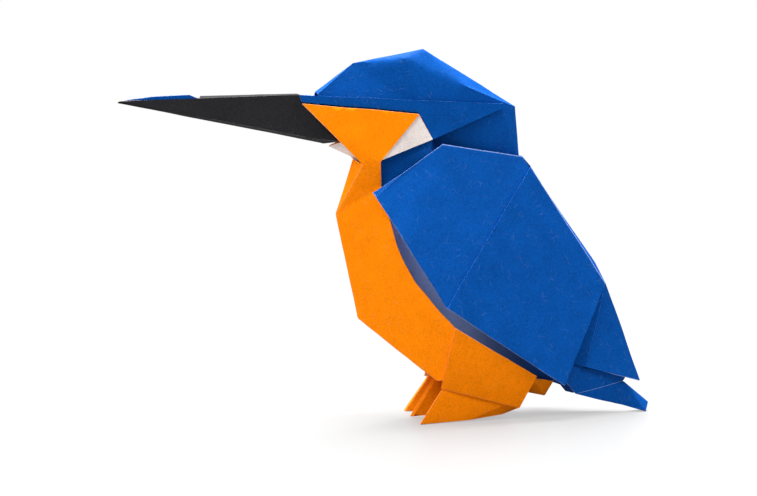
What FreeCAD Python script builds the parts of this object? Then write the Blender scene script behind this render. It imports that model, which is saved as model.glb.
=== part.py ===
import FreeCAD, Part

import os
from types import SimpleNamespace

from FreeCAD import Vector

# Origami kingfisher, folded from three sheets of paper. Millimetres, +Z up, the beak points to -X and the
# bird is the same on both sides of the plane Y = 0. The origin is at the bottom centre of the whole bird.
#
# A sheet is drawn as flat facets that share their corners along the folds. Only the side at Y < 0 is drawn:
# a corner is (x, half, z), where half is its distance from the middle plane. All corners are given for the
# bird as drawn, then stretched to the length, width and height of the spreadsheet, and last of all the sheet
# is given the paper's thickness.
DRAWN = Vector(151.5, 35.2, 104.1)

# alias, value, what it is
SIZES = [
    ("length", 151.5, "beak tip to tail"),
    ("width", 35.2, "across the wings"),
    ("height", 104.1, "floor to crown"),
    ("paper", 0.25, "thickness of the paper"),
    ("layer", 0.45, "pitch of two layers of one sheet folded onto each other"),
    ("air", 0.2, "clearance between two sheets"),
    ("pleat", 3.0, "depth of a hidden pleat"),
    # beak, from its root at the front edge of the eye band; runs go back from the root, drops go down from it
    ("root_x", -26.0, "root of the beak, behind the middle of the bird"),
    ("root_z", 91.5, "top edge of the beak at its root"),
    ("beak_length", 49.3, "root to tip"),
    ("beak_droop", 1.4, "fall of the top edge from the root to the tip"),
    ("beak_depth", 12.3, "top edge to side crease at the root"),
    ("beak_keel", 1.1, "side crease to keel at the root"),
    ("beak_rake", 6.2, "the lower corner of the root lies this far behind the upper one"),
    ("beak_half", 3.0, "half-width along the side crease at the root"),
    ("beak_top_half", 2.0, "half-width of the top edge at the root"),
    ("beak_tip_half", 0.45, "half-width of the top edge at the tip"),
    ("beak_closed", 27.0, "length, from the root, over which the black sheet closes over the ridge"),
    ("beak_tuck", 3.0, "length of the beak hidden under the eye band"),
    ("beak_tuck_low", 4.9, "length of the beak's lower edge hidden under the cheek"),
    ("point_rise", 1.1, "height of the blue point above the black edges"),
    ("point_depth", 3.2, "depth of the blue point inside the beak"),
    # head
    ("forehead_run", 5.3, "foot of the forehead"),
    ("brow_run", 15.6, "brow"),
    ("brow_rise", 8.4, "brow above the root's top edge"),
    ("crown_run", 35.6, "highest point of the crown"),
    ("crown_rise", 12.5, "crown above the root's top edge"),
    ("soft_front_run", 29.5, "front end of the soft fold beside the ridge of the crown"),
    ("soft_front_rise", 10.2, "rise of that front end"),
    ("soft_mid_run", 46.6, "middle of the soft fold"),
    ("soft_mid_rise", 2.3, "rise of that middle"),
    ("soft_front_half", 2.7, "half-width at the front end of the soft fold"),
    ("soft_half", 3.9, "half-width at the middle of the soft fold"),
    ("head_length", 61.8, "back corner of the head"),
    ("head_fall", 3.7, "drop of the back corner of the head"),
    ("head_pinch", 0.3, "the inner head layer is this much narrower than the beak at its root"),
    ("head_half", 4.8, "half-width of the inner head layer at its widest"),
    ("head_rear_half", 2.4, "half-width of the inner head layer at the end of the eye band"),
    # eye band
    ("band_length", 58.4, "length of the top edge"),
    ("band_fall", 2.9, "fall of the top edge from front to rear"),
    ("band_front", 2.4, "height of the front edge"),
    ("band_rear", 0.8, "height of the rear end"),
    ("band_slot", 0.55, "open slot between the band and the top edge of the cheek"),
    ("band_tip_run", 37.2, "lower tip"),
    ("band_tip_drop", 12.4, "drop of the lower tip"),
    # cheek, chin and the white patch behind the cheek
    ("cheek_front_run", 0.75, "front corner of the cheek"),
    ("cheek_run", 33.2, "rear corner of the cheek"),
    ("cheek_drop", 5.4, "drop of the rear corner of the cheek"),
    ("cheek_low_run", 17.5, "lowest corner of the cheek"),
    ("cheek_low_drop", 19.2, "drop of the lowest corner of the cheek"),
    ("cheek_low_width", 5.0, "width of the cheek where it joins the neck"),
    ("jaw_run", 15.2, "upper edge of the white patch inside the jaw"),
    ("jaw_drop", 12.0, "drop of that edge"),
    ("chin_run", 8.8, "front of the chin"),
    ("chin_drop", 14.1, "drop of the front of the chin"),
    # neck
    ("throat_x", -10.3, "foot of the chin on the middle plane"),
    ("throat_z", 73.5, "height of the foot of the chin"),
    ("neck_half", 3.4, "half-width of the blue neck at its front edge"),
    ("neck_rear_half", 4.4, "half-width of the blue neck under the lower tip of the eye band"),
    ("neck_bend_half", 5.6, "half-width of the blue neck at the soft bend across it"),
    ("neck_bend_z", 74.2, "height of that bend"),
    ("nape_half", 0.8, "half-width at the foot of the nape, which lies deep between the wings"),
    ("neck_edge_x", -3.1, "rear edge of the orange neck"),
    ("neck_edge_z", 66.0, "height at which that edge goes under the wing"),
    ("nape_x", 37.3, "back of the nape where it enters the wings"),
    ("nape_z", 70.0, "hidden lower edge of the nape"),
    # breast and belly
    ("breast_x", -15.1, "foremost point of the breast"),
    ("breast_z", 58.3, "height of the foremost point of the breast"),
    ("belly_x", -9.0, "lower front corner of the belly"),
    ("belly_z", 28.8, "height of the lower front corner of the belly"),
    ("belly_half", 13.0, "half-width of the belly at its flank"),
    ("flank_x", 11.5, "flank, on the curved upper edge"),
    ("flank_z", 31.9, "height of the flank"),
    ("rib_x", 2.8, "upper end of the crease across the breast"),
    ("rib_z", 44.6, "height of the rib"),
    ("belly_side_x", 11.4, "lower rear corner of the belly's side"),
    ("belly_side_z", 12.1, "height of the lower rear corner of the belly's side"),
    ("keel_x", 12.6, "keel of the belly above the middle toe"),
    ("keel_z", 11.3, "height of the keel above the middle toe"),
    ("vent_x", 44.9, "rear end of the keel"),
    ("vent_z", 5.4, "height of the rear end of the keel"),
    # thighs and feet
    ("thigh_x", 15.6, "upper front corner of the thigh"),
    ("thigh_z", 27.4, "height of the upper front corner of the thigh"),
    ("thigh_length", 28.7, "upper edge of the thigh"),
    ("thigh_fall", 14.8, "fall of the upper edge of the thigh"),
    ("thigh_narrowing", 2.8, "the rear of the thigh is this much nearer the middle plane than the flank"),
    ("hem_front_x", 12.4, "lower front corner of the thigh"),
    ("hem_front_z", 10.2, "height of the lower front corner of the thigh"),
    ("hem_rear_x", 35.7, "lower rear corner of the thigh"),
    ("hem_rear_z", 3.5, "height of the lower rear corner of the thigh"),
    ("toe_x", 6.6, "tips of the outer toes"),
    ("toe_half", 12.0, "half-width at the tips of the outer toes"),
    ("toe_fold", 0.9, "width of the fold along the front of a toe"),
    ("sole_length", 14.6, "straight part of the sole"),
    ("heel_x", 35.8, "heel"),
    ("heel_z", 3.1, "height of the heel"),
    ("heel_half", 6.2, "half-width at the heel"),
    # wings and back
    ("wing_top_x", 13.8, "upper front corner of the wing"),
    ("wing_top_z", 77.7, "height of the upper front corner of the wing"),
    ("wing_top_half", 6.0, "half-width at the upper front corner of the wing"),
    ("wing_front_x", -5.6, "foremost corner of the wing"),
    ("wing_front_z", 63.4, "height of the foremost corner of the wing"),
    ("wing_front_half", 10.0, "half-width at the foremost corner of the wing"),
    ("lip", 1.45, "width of the turned edge along the front of the wing"),
    ("shoulder_x", 39.8, "rear end of the shoulder, where the two panels of the wing meet"),
    ("shoulder_z", 70.8, "height of the rear end of the shoulder"),
    ("shoulder_half", 2.4, "half-width at the rear end of the shoulder"),
    ("shoulder_top_x", 38.0, "upper end of the ridge of the back"),
    ("shoulder_top_z", 73.7, "height of the upper end of the ridge of the back"),
    ("wing_low_x", 12.8, "lowest corner of the front panel of the wing"),
    ("wing_low_z", 33.1, "height of the lowest corner of the front panel of the wing"),
    ("wing_proud", 3.8, "the wing stands this far out from the flank at that corner"),
    ("wing_tip_x", 47.9, "lowest corner of the rear panel of the wing"),
    ("wing_tip_z", 9.6, "height of the lowest corner of the rear panel of the wing"),
    ("wing_tip_half", 10.6, "half-width at that corner"),
    ("rump_x", 61.8, "where the wings end on the back"),
    ("rump_z", 37.3, "height at which the wings end on the back"),
    ("back_proud", 0.9, "the ridge of the back stands this far behind the edges of the wings"),
    # tail
    ("tail_x", 73.0, "tip of the upper tail"),
    ("tail_z", 8.8, "height of the tip of the upper tail"),
    ("tail_side_x", 55.5, "side corner of the upper tail"),
    ("tail_side_z", 14.1, "height of the side corner of the upper tail"),
    ("tail_side_half", 6.0, "half-width at the side corner of the upper tail"),
    ("under_tail_x", 49.4, "front corner of the lower tail"),
    ("under_tail_z", 10.1, "height of the front corner of the lower tail"),
    ("blade_front_x", 52.6, "front corner of the tail blade"),
    ("blade_front_z", 6.4, "height of the front corner of the tail blade"),
    ("blade_ridge_x", 68.2, "front of the ridge of the tail blade"),
    ("blade_ridge_z", 8.7, "height of the front of the ridge of the tail blade"),
    ("blade_x", 75.6, "rear end of the tail blade"),
    ("blade_z", 2.6, "height of the upper corner at the end of the tail blade"),
    ("blade_half", 2.0, "half-width at the lower corner of the tail blade"),
]


def make_document():
    """The document with its spreadsheet of driving sizes."""
    doc = FreeCAD.newDocument("Kingfisher")
    sheet = doc.addObject("Spreadsheet::Sheet", "Sizes")
    for row, (alias, value, note) in enumerate(SIZES, start=1):
        sheet.set(f"A{row}", alias)
        sheet.set(f"B{row}", str(value))
        sheet.set(f"C{row}", note)
        sheet.setAlias(f"B{row}", alias)
    doc.recompute()
    return doc, sheet


def read_sizes(sheet):
    return SimpleNamespace(**{alias: float(sheet.get(alias)) for alias, _, _ in SIZES})


def between(start, end, share):
    return start + (end - start) * share


def on_plane(x, z, corners):
    """The point of the plane through three corners that lies at this x and z."""
    first, second, third = corners
    normal = (second - first).cross(third - first)
    reach = normal.x * (x - first.x) + normal.z * (z - first.z)
    return Vector(x, first.y - reach / normal.y, z)


def stretched(s, point):
    """A drawn point, moved to its place in a bird of the spreadsheet's length, width and height."""
    return Vector(point.x * s.length / DRAWN.x, point.y * s.width / DRAWN.y, point.z * s.height / DRAWN.z)


class FoldedSheet:
    """A sheet of paper as flat facets that share named corners. A name that ends in ~ is the mirrored
    corner on the far side."""

    def __init__(self, s):
        self.sizes = s
        self.corners = {}
        self.facets = []

    def __getitem__(self, name):
        return self.corners[name]

    def corner(self, name, x, half, z):
        self.corners[name] = Vector(x, -half, z)
        if half:
            self.corners[name + "~"] = Vector(x, half, z)
        return self.corners[name]

    def place(self, name, point):
        return self.corner(name, point.x, -point.y, point.z)

    def shift(self, name, source, offset):
        return self.place(name, self.corners[source] + offset)

    def far(self, name):
        return name + "~" if name + "~" in self.corners else name

    def facet(self, *names):
        """A near facet and its mirror image, or one facet across the middle plane if it names a far
        corner."""
        self.facets.append(list(names))
        if not any(name.endswith("~") for name in names):
            self.facets.append([self.far(name) for name in reversed(names)])

    def area(self, names):
        """Twice the area of a facet, as a vector that stands on its outer side."""
        points = [self.corners[name] for name in names]
        total = Vector()
        for start, end in zip(points, points[1:] + points[:1]):
            total += start.cross(end)
        return total

    def normal(self, names):
        return self.area(names).normalize()

    def turn_outwards(self):
        """Gives all facets the same outer side, starting from the first, which faces Y < 0."""
        if self.normal(self.facets[0]).y > 0:
            self.facets[0].reverse()
        done, waiting = [self.facets[0]], self.facets[1:]
        for names in done:
            edges = set(zip(names, names[1:] + names[:1]))
            for other in list(waiting):
                its_edges = list(zip(other, other[1:] + other[:1]))
                if any(edge in edges for edge in its_edges):
                    other.reverse()
                elif not any((end, start) in edges for start, end in its_edges):
                    continue
                waiting.remove(other)
                done.append(other)
        if waiting:
            raise ValueError(f"facets not joined to the sheet: {waiting}")

    def cut(self, names):
        """A facet cut into triangles that all keep its outer side, fanned from the first corner that can.
        A triangle with no width doesn't count, as where three corners lie on one edge."""
        normal = self.normal(names)
        for turn in range(len(names)):
            first, *others = names[turn:] + names[:turn]
            fan = [(first, second, third) for second, third in zip(others, others[1:])]
            if all(self.area(triangle).dot(normal) > 0.01 for triangle in fan):
                return fan
        raise ValueError(f"no fan of triangles fills {names}")

    def offset(self, name):
        """From a corner to the outer side of the paper: half a thickness off every facet that meets
        there. A little of the identity matrix keeps the answer short at a fold that is nearly flat."""
        cells = [[0.01, 0, 0], [0, 0.01, 0], [0, 0, 0.01]]
        total = Vector()
        for normal in (self.normal(facet) for facet in self.facets if name in facet):
            for row in range(3):
                for column in range(3):
                    cells[row][column] += normal[row] * normal[column]
            total += normal
        matrix = FreeCAD.Matrix()
        matrix.A11, matrix.A12, matrix.A13 = cells[0]
        matrix.A21, matrix.A22, matrix.A23 = cells[1]
        matrix.A31, matrix.A32, matrix.A33 = cells[2]
        return matrix.inverse().multVec(total) * (self.sizes.paper / 2)

    def solid(self):
        """The sheet as one closed solid: outer side, inner side and the cut edges between them."""
        self.corners = {name: stretched(self.sizes, point) for name, point in self.corners.items()}
        self.turn_outwards()
        outer, inner = {}, {}
        for name in {name for facet in self.facets for name in facet}:
            offset = self.offset(name)
            outer[name] = self[name] + offset
            inner[name] = self[name] - offset
        triangles = []
        edges = set()
        for names in self.facets:
            edges.update(zip(names, names[1:] + names[:1]))
            for first, second, third in self.cut(names):
                triangles.append((outer[first], outer[second], outer[third]))
                triangles.append((inner[first], inner[third], inner[second]))
        for start, end in sorted(edges):
            if (end, start) not in edges:
                triangles.append((outer[end], outer[start], inner[start]))
                triangles.append((outer[end], inner[start], inner[end]))
        faces = [Part.Face(Part.makePolygon([a, b, c, a])) for a, b, c in triangles]
        shell = Part.Shell(faces)
        shell.sewShape()
        solid = Part.Solid(shell)
        if solid.Volume < 0:
            solid.reverse()
        return solid


def fold_beak(s):
    """The black sheet: two sides that meet in a keel, closed over the ridge from half-way to the root."""
    tube = FoldedSheet(s)
    tip_x = s.root_x - s.beak_length
    tip_z = s.root_z - s.beak_droop
    low_x = s.root_x + s.beak_rake
    low_z = s.root_z - s.beak_depth
    share = s.beak_closed / s.beak_length
    tube.corner("keel tip", tip_x - s.paper, 0, tip_z - s.layer)
    tip = tube.corner("tip", tip_x, s.beak_tip_half, tip_z)
    root = tube.corner("root", s.root_x, s.beak_top_half, s.root_z)
    closed = tube.place("closed", between(root, tip, share))
    tube.corner("ridge closed", closed.x, 0, closed.z + s.point_rise / 2)
    tube.corner("ridge root", s.root_x, 0, s.root_z + s.air)
    tube.corner("tucked", s.root_x + s.beak_tuck, s.beak_top_half, s.root_z - s.layer * 2)
    tube.corner("ridge tucked", s.root_x + s.beak_tuck, 0, s.root_z - s.layer * 2)
    low = tube.corner("crease root", low_x, s.beak_half, low_z)
    tube.place("crease", between(low, tip, share))
    tube.corner("crease end", low_x + s.beak_tuck_low, s.beak_half + s.air, low_z - s.beak_keel / 2)
    keel = tube.corner("keel root", low_x + s.beak_keel, 0, low_z - s.beak_keel)
    tube.place("keel", between(keel, tube["keel tip"], share))
    tube.facet("tip", "closed", "crease")
    tube.facet("closed", "root", "crease")
    tube.facet("root", "crease root", "crease")
    tube.facet("root", "tucked", "crease end", "crease root")
    tube.facet("keel tip", "tip", "crease")
    tube.facet("keel tip", "crease", "keel")
    tube.facet("keel", "crease", "crease root")
    tube.facet("keel", "crease root", "keel root")
    tube.facet("keel root", "crease root", "crease end")
    tube.facet("closed", "ridge closed", "ridge root", "root")
    tube.facet("root", "ridge root", "ridge tucked", "tucked")
    return tube.solid()


def point_outline(s):
    """The blue sheet's narrow point, which stands in the open part of the beak and runs back under its
    ridge into the forehead."""
    tip_x = s.root_x - s.beak_length
    tip_z = s.root_z - s.beak_droop
    open_x = s.root_x - s.beak_closed - s.pleat
    open_z = between(s.root_z, tip_z, (s.beak_closed + s.pleat) / s.beak_length)
    under_ridge = s.paper * 2 + s.air
    end_x = s.root_x + s.forehead_run + s.pleat * 2 / 3
    brow_x = s.root_x + s.brow_run
    return [
        Vector(tip_x + s.pleat / 2, 0, tip_z + s.air),
        Vector(tip_x + s.pleat * 3, 0, tip_z + s.point_rise),
        Vector(open_x, 0, open_z + s.point_rise),
        Vector(open_x + s.pleat, 0, open_z + s.point_rise / 2 - under_ridge),
        Vector(end_x, 0, s.root_z - under_ridge - s.layer * 2),
        Vector(end_x, 0, s.root_z + s.layer * 4),
        Vector(brow_x, 0, s.root_z + s.brow_rise),
        Vector(brow_x, 0, s.root_z - s.point_depth),
        Vector(open_x, 0, open_z - s.point_depth),
        Vector(tip_x + s.pleat * 2, 0, tip_z - s.air),
    ]


def ridge_of_back(s):
    """The ridge between the wings: its upper and its lower end."""
    top = Vector(s.shoulder_top_x, 0, s.shoulder_top_z)
    low = between(top, Vector(s.rump_x, 0, s.rump_z), 0.87)
    return top, low + Vector(s.back_proud, 0, s.back_proud)


def gather_outline(s):
    """The blue sheet's spare paper, gathered flat on the middle plane under the wings. It fills the gap
    between wings and breast when the bird is seen from the side."""
    top, low = ridge_of_back(s)
    inward = Vector(-0.8, 0, -0.6)
    return [
        between(top, low, 0.12) + inward * s.pleat,
        between(top, low, 0.5) + inward * s.paper / 2,
        between(top, low, 0.9) + inward * s.pleat,
        Vector(s.tail_side_x, 0, s.tail_side_z),
        Vector(s.blade_front_x + s.pleat * 0.3, 0, s.blade_front_z - s.pleat * 0.2),
        Vector(s.blade_front_x - s.pleat / 2, 0, s.blade_front_z),
        Vector(s.under_tail_x + s.air, 0, s.under_tail_z - s.pleat * 0.6),
        Vector(s.vent_x + s.pleat * 0.65, 0, s.vent_z + s.pleat * 1.3),
        Vector(s.thigh_x + s.thigh_length / 2, 0, s.vent_z + s.pleat * 3),
        Vector(s.wing_low_x, 0, s.wing_low_z - s.pleat * 3),
        Vector(s.rib_x, 0, s.rib_z - s.pleat * 2),
        Vector(s.neck_edge_x + s.pleat / 3, 0, s.breast_z),
        Vector(s.neck_edge_x + s.pleat * 2, 0, s.wing_front_z),
    ]


def head_half(s, x):
    """Half-width of the innermost layer of the head, widest above the lower tip of the eye band."""
    run = x - s.root_x
    if run < s.band_tip_run:
        return between(s.beak_half - s.head_pinch, s.head_half, run / s.band_tip_run)
    share = (run - s.band_tip_run) / (s.band_length - s.band_tip_run)
    return between(s.head_half, s.head_rear_half, share)


def band_top(s, x):
    """Height of the eye band's top edge."""
    return s.root_z - s.band_fall * (x - s.root_x) / s.band_length


def fold_crown(cover, s):
    """A ridge, a soft fold beside it, and sides that run down behind the eye bands."""
    foot_x = s.root_x + s.forehead_run
    end_x = s.root_x + s.band_length - s.air * 4
    cover.corner("foot", foot_x, 0, s.root_z + s.layer * 2)
    cover.corner("brow", s.root_x + s.brow_run, 0, s.root_z + s.brow_rise)
    cover.corner("crown", s.root_x + s.crown_run, 0, s.root_z + s.crown_rise)
    cover.corner("back", s.root_x + s.head_length, 0, s.root_z - s.head_fall)
    soft_x = s.root_x + s.soft_front_run
    cover.corner("soft front", soft_x, s.soft_front_half, s.root_z + s.soft_front_rise)
    cover.corner("soft mid", s.root_x + s.soft_mid_run, s.soft_half, s.root_z + s.soft_mid_rise)
    cover.corner("soft rear", end_x, s.head_rear_half, band_top(s, end_x) + s.air * 3)
    cover.corner("temple", foot_x, head_half(s, foot_x) - s.air, s.root_z + s.air)
    cover.corner("inner foot", foot_x, head_half(s, foot_x), band_top(s, foot_x) - s.pleat)
    tip_x = s.root_x + s.band_tip_run
    cover.corner("inner tip", tip_x, head_half(s, tip_x), band_top(s, tip_x) - s.pleat * 1.9)
    cover.corner("inner end", end_x, head_half(s, end_x), band_top(s, end_x) - s.air * 4)
    cover.facet("brow", "crown", "soft front")
    cover.facet("crown", "soft mid", "soft front")
    cover.facet("crown", "back", "soft mid")
    cover.facet("back", "soft rear", "soft mid")
    cover.facet("foot", "brow", "temple")
    cover.facet("brow", "inner tip", "inner foot")
    cover.facet("brow", "inner foot", "temple")
    cover.facet("brow", "soft front", "inner tip")
    cover.facet("soft front", "soft mid", "inner tip")
    cover.facet("soft mid", "soft rear", "inner tip")
    cover.facet("soft rear", "inner end", "inner tip")
    cover.facet("back", "inner end", "soft rear")


def fold_band(cover, s):
    """The eye band: a pleat up from the crown's inner layer, then the outer layer down to the slot over the
    cheek and to its tip behind it."""
    for place in ("foot", "tip", "end"):
        inner = cover["inner " + place]
        top = band_top(s, inner.x)
        cover.shift("turned " + place, "inner " + place, Vector(0, -s.layer, 0))
        cover.corner("raised " + place, inner.x, s.layer - inner.y, top)
        cover.corner("band " + place, inner.x, s.layer * 2 - inner.y, top)
    for start, end in (("foot", "tip"), ("tip", "end")):
        cover.facet("inner " + start, "inner " + end, "turned " + end, "turned " + start)
        cover.facet("turned " + start, "turned " + end, "raised " + end, "raised " + start)
        cover.facet("raised " + start, "raised " + end, "band " + end, "band " + start)
    rows = [
        ("band front", 0, 0),
        ("band corner", s.cheek_front_run, s.band_front - s.band_slot),
        ("slot rear", s.cheek_run - s.air, s.cheek_drop - s.band_slot),
        ("band hidden", s.cheek_run + s.air, s.cheek_drop + s.pleat / 2),
        ("band low", s.band_tip_run, s.band_tip_drop),
        ("band rear", s.band_length, s.band_fall + s.band_rear),
    ]
    for name, run, drop in rows:
        x = s.root_x + run
        cover.corner(name, x, head_half(s, x) + s.layer * 2, s.root_z - drop)
    cover.facet("band front", "band foot", "band tip", "slot rear", "band corner")
    cover.facet("band tip", "band low", "band hidden", "slot rear")
    cover.facet("band tip", "band end", "band rear", "band low")


def fold_nape(cover, s):
    """Nape and neck, inside the bands above and the wings below, with a step from one to the other."""
    tip_x = s.root_x + s.band_tip_run
    nape_top = s.root_z - s.band_tip_drop + s.pleat
    cover.corner("nape top", tip_x, s.nape_half + s.pleat * 0.7, nape_top)
    cover.corner("nape low", s.wing_top_x, s.nape_half, s.nape_z - s.pleat / 2)
    cover.corner("neck rear top", tip_x - s.air, s.neck_rear_half, nape_top)
    cover.corner("neck bend", tip_x - s.air * 2, s.neck_bend_half, s.neck_bend_z)
    cover.corner("neck rear low", tip_x - s.air, s.neck_rear_half, s.nape_z - s.pleat / 2)
    cover.corner("nape back", s.nape_x, 0, s.nape_z)
    cover.corner("neck top", s.neck_edge_x - 1, s.neck_half - s.air / 2, s.throat_z + s.pleat / 2)
    cover.corner("neck low", s.neck_edge_x + s.air * 3, s.neck_half - s.air * 1.5, s.wing_front_z)
    cover.facet("back", "nape back", "inner end")
    cover.facet("inner end", "nape back", "nape low")
    cover.facet("inner end", "nape low", "nape top")
    cover.facet("nape top", "nape low", "neck rear low", "neck bend", "neck rear top")
    cover.facet("neck rear top", "neck bend", "neck top")
    cover.facet("neck bend", "neck rear low", "neck low", "neck top")


def fold_wing(cover, s):
    """The wing: its top edge is turned up from the nape, and its rear panel lies over its front panel."""
    top = cover.corner("wing top", s.wing_top_x, s.wing_top_half, s.wing_top_z)
    shoulder = cover.corner("shoulder", s.shoulder_x, s.shoulder_half, s.shoulder_z)
    low = cover.corner("wing low", s.wing_low_x, s.belly_half + s.wing_proud, s.wing_low_z)
    tip = cover.corner("wing tip", s.wing_tip_x, s.wing_tip_half, s.wing_tip_z)
    front_plane = (top, shoulder, low)
    rear_plane = (shoulder, low, tip)
    ridge_top = cover.place("ridge top", ridge_of_back(s)[0])
    cover.place("shoulder top", on_plane(s.shoulder_top_x - s.air * 3, ridge_top.z, front_plane))
    cover.shift("turned nape", "nape low", Vector(0, -s.layer, 0))
    cover.corner("turned back", s.nape_x + s.layer, 0, s.nape_z)
    cover.corner("raised top", s.wing_top_x + s.air, s.wing_top_half - s.layer, s.wing_top_z)
    cover.corner("raised ridge", s.nape_x + s.layer, 0, ridge_top.z - s.air * 2)
    cover.facet("nape low", "nape back", "turned back", "turned nape")
    cover.facet("turned nape", "turned back", "raised ridge", "raised top")
    cover.facet("raised top", "raised ridge", "shoulder top")
    cover.facet("raised ridge", "ridge top", "shoulder top")
    cover.facet("raised top", "shoulder top", "wing top")

    # front panel, bent softly near its front corner and turned over along its front edge
    front = cover.corner("wing front", s.wing_front_x, s.wing_front_half, s.wing_front_z)
    cover.shift("lip front", "wing front", Vector(-0.45, 1.5, 0.75) * s.lip)
    cover.place("lip end", between(front, top, 0.42) + Vector(-s.air, 0, s.layer * 1.5))
    bend = between(front, low, 0.34)
    cover.place("wing bend", on_plane(bend.x, bend.z, front_plane))
    cover.facet("wing top", "lip end", "wing front", "wing bend")
    cover.facet("lip end", "lip front", "wing front")
    cover.facet("wing top", "wing bend", "wing low", "shoulder")
    cover.facet("wing top", "shoulder", "shoulder top")

    # rear panel, one step further out
    step = Vector(0.2, -0.95, 0.16) * s.layer * 1.5
    cover.shift("step shoulder", "shoulder", step)
    cover.shift("step low", "wing low", step)
    cover.shift("outer tip", "wing tip", step)
    cover.place("rump", on_plane(s.rump_x, s.rump_z, rear_plane) + step)
    cover.facet("shoulder", "wing low", "step low", "step shoulder")
    cover.facet("step shoulder", "step low", "outer tip", "rump")


def fold_back_and_tail(cover, s):
    """A low ridge between the wings, then the upper tail, a recess under the wing, and a blade that
    reaches the floor."""
    cover.place("ridge low", ridge_of_back(s)[1])
    cover.corner("ridge rump", s.rump_x + s.pleat / 4, 0, s.rump_z)
    cover.facet("shoulder top", "ridge top", "shoulder")
    cover.facet("shoulder", "ridge top", "step shoulder")
    cover.facet("step shoulder", "ridge top", "ridge low", "rump")
    cover.facet("rump", "ridge low", "ridge rump")

    cover.corner("tail", s.tail_x, 0, s.tail_z)
    cover.corner("tail side", s.tail_side_x, s.tail_side_half, s.tail_side_z)
    cover.shift("tail inner", "tail side", Vector(-0.4, 0.27, -0.07) * s.pleat)
    cover.corner("recess", s.under_tail_x, s.tail_side_half - s.pleat / 2, s.tail_side_z + s.pleat / 2)
    cover.corner("blade front", s.blade_front_x, s.tail_side_half, s.blade_front_z)
    ridge = cover.corner("blade ridge", s.blade_ridge_x, 0, s.blade_ridge_z)
    flap = (cover["tail inner"], cover["blade front"], ridge)
    cover.place("under", on_plane(s.under_tail_x, s.under_tail_z, flap))
    cover.corner("flap top", s.blade_ridge_x + s.pleat / 6, 0, s.blade_ridge_z + s.pleat / 2)
    cover.corner("blade end", s.blade_x, 0, s.blade_z)
    corner = cover.corner("blade corner", s.blade_x - s.pleat * 0.4, s.blade_half, s.paper / 2)
    crease = between(cover["blade front"], corner, 0.71)
    cover.corner("blade crease", crease.x, s.blade_half / 4, crease.z)
    cover.facet("rump", "ridge rump", "tail", "tail side")
    cover.facet("rump", "tail side", "recess")
    cover.facet("tail side", "tail inner", "recess")
    cover.facet("tail inner", "under", "recess")
    cover.facet("tail inner", "flap top", "blade ridge", "blade front", "under")
    cover.facet("blade ridge", "blade crease", "blade front")
    cover.facet("blade ridge", "blade corner", "blade crease")
    cover.facet("blade ridge", "blade end", "blade corner")


def fold_blue_cover(s):
    """All of the blue sheet but its gathered layers: crown, eye bands, nape, wings, back and tail."""
    cover = FoldedSheet(s)
    fold_crown(cover, s)
    fold_band(cover, s)
    fold_nape(cover, s)
    fold_wing(cover, s)
    fold_back_and_tail(cover, s)
    return cover.solid()


def fold_cheek(cover, s):
    """An inner layer with its reverse outwards, chin in front and white patch behind, and over it the
    cheek, folded down along its top edge."""
    white = s.layer * 2 + s.paper + s.air
    orange = white + s.layer
    low_run = s.cheek_low_run + s.cheek_low_width
    rows = [
        ("under front", s.cheek_front_run, s.band_front, white),
        ("under rear", s.cheek_run, s.cheek_drop, white),
        ("patch", s.band_tip_run, s.band_tip_drop - s.air / 2, white),
        ("patch low", low_run + s.pleat / 5, s.cheek_low_drop - s.pleat * 0.4, white),
        ("under low", s.cheek_low_run + s.pleat * 0.8, s.cheek_low_drop - s.pleat, white),
        ("jaw", s.jaw_run, s.jaw_drop, white),
        ("cheek front", s.cheek_front_run, s.band_front, orange),
        ("cheek rear", s.cheek_run, s.cheek_drop, orange),
        ("cheek low", low_run, s.cheek_low_drop - s.pleat / 4, orange),
        ("cheek dimple", s.cheek_low_run + s.pleat * 0.7, s.cheek_low_drop - s.pleat * 0.7, orange),
    ]
    for name, run, drop, out in rows:
        x = s.root_x + run
        cover.corner(name, x, head_half(s, x) + out, s.root_z - drop)
    cover.corner("chin", s.root_x + s.chin_run, 0, s.root_z - s.chin_drop)
    cover.corner("throat", s.throat_x + s.layer, 0, s.throat_z + s.layer)
    jaw_x = s.root_x + s.cheek_low_run
    cover.corner("jaw front", jaw_x, head_half(s, jaw_x) + orange - s.layer, s.root_z - s.cheek_low_drop)
    cover.facet("under front", "under rear", "patch", "patch low", "under low", "jaw")
    cover.facet("jaw", "under low", "throat", "chin")
    cover.facet("under front", "under rear", "cheek rear", "cheek front")
    cover.facet("cheek front", "cheek rear", "cheek low", "cheek dimple", "jaw front")
    cover.facet("cheek dimple", "cheek low", "jaw front")


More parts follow.
